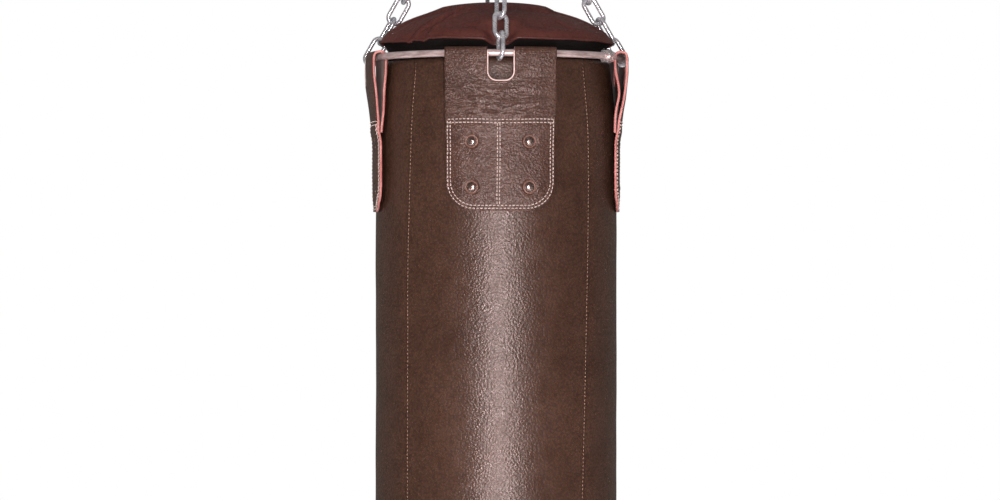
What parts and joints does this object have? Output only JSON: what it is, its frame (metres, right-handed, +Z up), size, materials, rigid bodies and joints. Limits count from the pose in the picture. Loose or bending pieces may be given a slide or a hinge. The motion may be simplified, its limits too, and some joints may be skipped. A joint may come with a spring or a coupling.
{
  "type": "hanging heavy bag",
  "caption": "Leather heavy bag hung by folded tabs from a steel hoop, on four chains that meet at a ring below a ball-bearing swivel.",
  "frame": {"origin": "centre of the bore of the swivel's top eye", "axes": "+Z up along the hanging axis, -Y towards the front of the bag, +X along the eye's bore"},
  "size_m": [0.387, 0.3874, 1.6497],
  "materials": {
    "body_leather": "waxed pebbled leather",
    "lid_leather": "soft matte leather",
    "tab_leather": "thick waxed strap leather",
    "zip_textile": "woven black tape",
    "zip_metal": "dark satin metal",
    "chain_steel": "bright zinc plated",
    "swivel_steel": "zinc plated forging",
    "hoop_steel": "worn plated bar",
    "nut_steel": "zinc plated",
    "rivet_metal": "antique plated",
    "filling_textile": "packed textile"
  },
  "bodies": {
    "hanger": {"swivel_eye": "swivel_steel", "stem_nut": "swivel_steel", "lower_race": "swivel_steel"},
    "swivel": {"swivel_housing": "swivel_steel", "upper_race": "swivel_steel", "bearing_balls": "swivel_steel", "swivel_clevis": "swivel_steel", "clevis_pin": "swivel_steel", "split_pin": "swivel_steel"},
    "top_ring": {"master_ring": "swivel_steel"},
    "bag": {"chain_front_link_1": "chain_steel", "chain_front_link_2": "chain_steel", "chain_front_link_3": "chain_steel", "chain_front_link_4": "chain_steel", "chain_front_link_5": "chain_steel", "chain_front_upper_links": "chain_steel", "chain_right_link_1": "chain_steel", "chain_right_link_2": "chain_steel", "chain_right_link_3": "chain_steel", "chain_right_link_4": "chain_steel", "chain_right_link_5": "chain_steel", "chain_right_upper_links": "chain_steel", "chain_back_link_1": "chain_steel", "chain_back_link_2": "chain_steel", "chain_back_link_3": "chain_steel", "chain_back_link_4": "chain_steel", "chain_back_link_5": "chain_steel", "chain_back_upper_links": "chain_steel", "chain_left_link_1": "chain_steel", "chain_left_link_2": "chain_steel", "chain_left_link_3": "chain_steel", "chain_left_link_4": "chain_steel", "chain_left_link_5": "chain_steel", "chain_left_upper_links": "chain_steel", "hoop": "hoop_steel", "hoop_nut_1": "nut_steel", "hoop_nut_2": "nut_steel", "panel_front": "body_leather", "panel_right": "body_leather", "panel_back": "body_leather", "panel_left": "body_leather", "bottom_disc": "body_leather", "padding_sleeve": "filling_textile", "filling": "filling_textile", "lid": "lid_leather", "zip_band": "zip_textile", "tab_front": "tab_leather", "tab_right": "tab_leather", "tab_back": "tab_leather", "tab_left": "tab_leather", "rivets_front": "rivet_metal", "rivets_right": "rivet_metal", "rivets_back": "rivet_metal", "rivets_left": "rivet_metal"},
    "zip_slider": {"zip_slider": "zip_metal"},
    "zip_puller": {"zip_puller": "zip_metal"}
  },
  "joints": [
    {"name": "swivel_spin", "type": "hinge", "parent": "hanger", "child": "swivel", "pos_m": [0, 0, -0.04], "axis": [0, 0, 1], "continuous": true},
    {"name": "ring_swing", "type": "hinge", "parent": "swivel", "child": "top_ring", "pos_m": [0, 0, -0.092], "axis": [0, 1, 0], "range_deg": [-35, 35]},
    {"name": "bag_rock", "type": "hinge", "parent": "top_ring", "child": "bag", "pos_m": [0, 0, -0.1352], "axis": [1, 0, 0], "range_deg": [-15, 15]},
    {"name": "zip_slide", "type": "hinge", "parent": "bag", "child": "zip_slider", "pos_m": [0, 0, -0.4227], "axis": [0, 0, 1], "range_deg": [0, 278]},
    {"name": "puller_swing", "type": "hinge", "parent": "zip_slider", "child": "zip_puller", "pos_m": [-0.09927, 0.12752, -0.4212], "axis": [0, 0, -1], "range_deg": [0, 28]}
  ]
}
